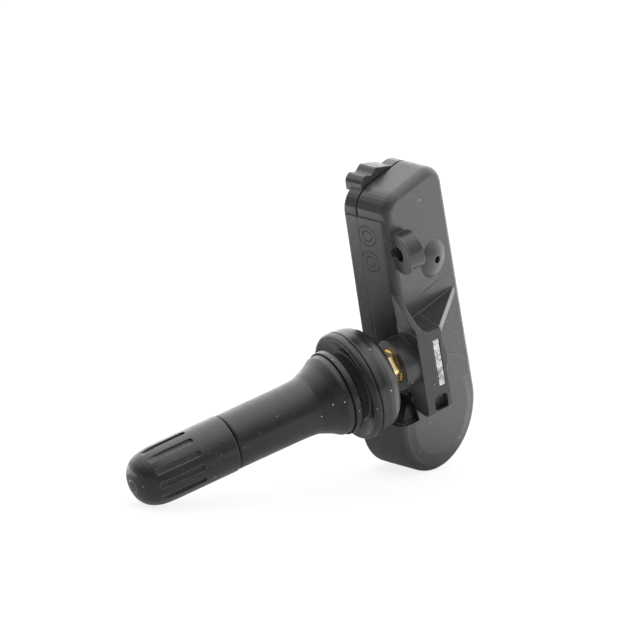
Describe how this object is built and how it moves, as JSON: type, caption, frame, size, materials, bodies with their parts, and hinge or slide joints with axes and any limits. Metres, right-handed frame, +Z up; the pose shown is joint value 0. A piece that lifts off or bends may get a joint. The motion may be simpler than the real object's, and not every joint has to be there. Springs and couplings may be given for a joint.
{
  "type": "tyre pressure sensor",
  "caption": "Tyre pressure sensor with a moulded body, snap-in rubber valve stem and screwed valve cap",
  "frame": {"origin": "centre of the rim seat on the stem axis", "axes": "+Z up as the sensor rests on a flat surface, +X level along the stem towards the cap, +Y out of the bracket face of the body"},
  "size_m": [0.0689, 0.0275, 0.0532],
  "materials": {
    "housing_plastic": "moulded glass-filled nylon, satin",
    "cap_plastic": "moulded plastic, satin",
    "rubber": "smooth moulded rubber",
    "brass": "turned brass",
    "steel": "sheared and rolled steel",
    "gasket_red": "smooth",
    "board_green": "solder mask",
    "chip_black": "moulded epoxy",
    "ferrite": "fired ferrite",
    "copper": "enamelled wire",
    "ceramic": "fired ceramic"
  },
  "bodies": {
    "sensor": {"housing": "housing_plastic", "lid": "housing_plastic", "retaining_clip": "steel", "rubber_stem": "rubber", "brass_stem": "brass", "core_head": "brass", "core_barrel": "brass", "core_gasket": "gasket_red", "core_spring": "steel", "battery": "steel", "positive_tab": "steel", "negative_tab": "steel", "circuit_board": "board_green", "sensor_chip": "chip_black", "port_gasket": "rubber", "coil_core": "ferrite", "coil_winding": "copper", "crystal": "steel", "capacitors": "ceramic", "antenna_wire": "steel"},
    "pin": {"core_pin": "brass", "core_seal": "rubber"},
    "seal_disc": {"cap_seal": "rubber"},
    "cap": {"valve_cap": "cap_plastic"}
  },
  "joints": [
    {"name": "pin_press", "type": "slide", "parent": "sensor", "child": "pin", "axis": [-0.8792, 0.3399, 0.334], "range_m": [0, 0.0011], "stiffness_N_per_m": 1000, "springref_m": -0.001},
    {"name": "cap_travel", "type": "slide", "parent": "sensor", "child": "seal_disc", "axis": [0.8792, -0.3399, -0.334], "range_m": [0, 0.0055]},
    {"name": "cap_turn", "type": "hinge", "parent": "seal_disc", "child": "cap", "pos_m": [0, 0, 0], "axis": [0.8792, -0.3399, -0.334], "range_deg": [0, 2520]}
  ],
  "couplings": [
    {"joint": "cap_turn", "follows": "cap_travel", "rad_per_m": 7916}
  ]
}
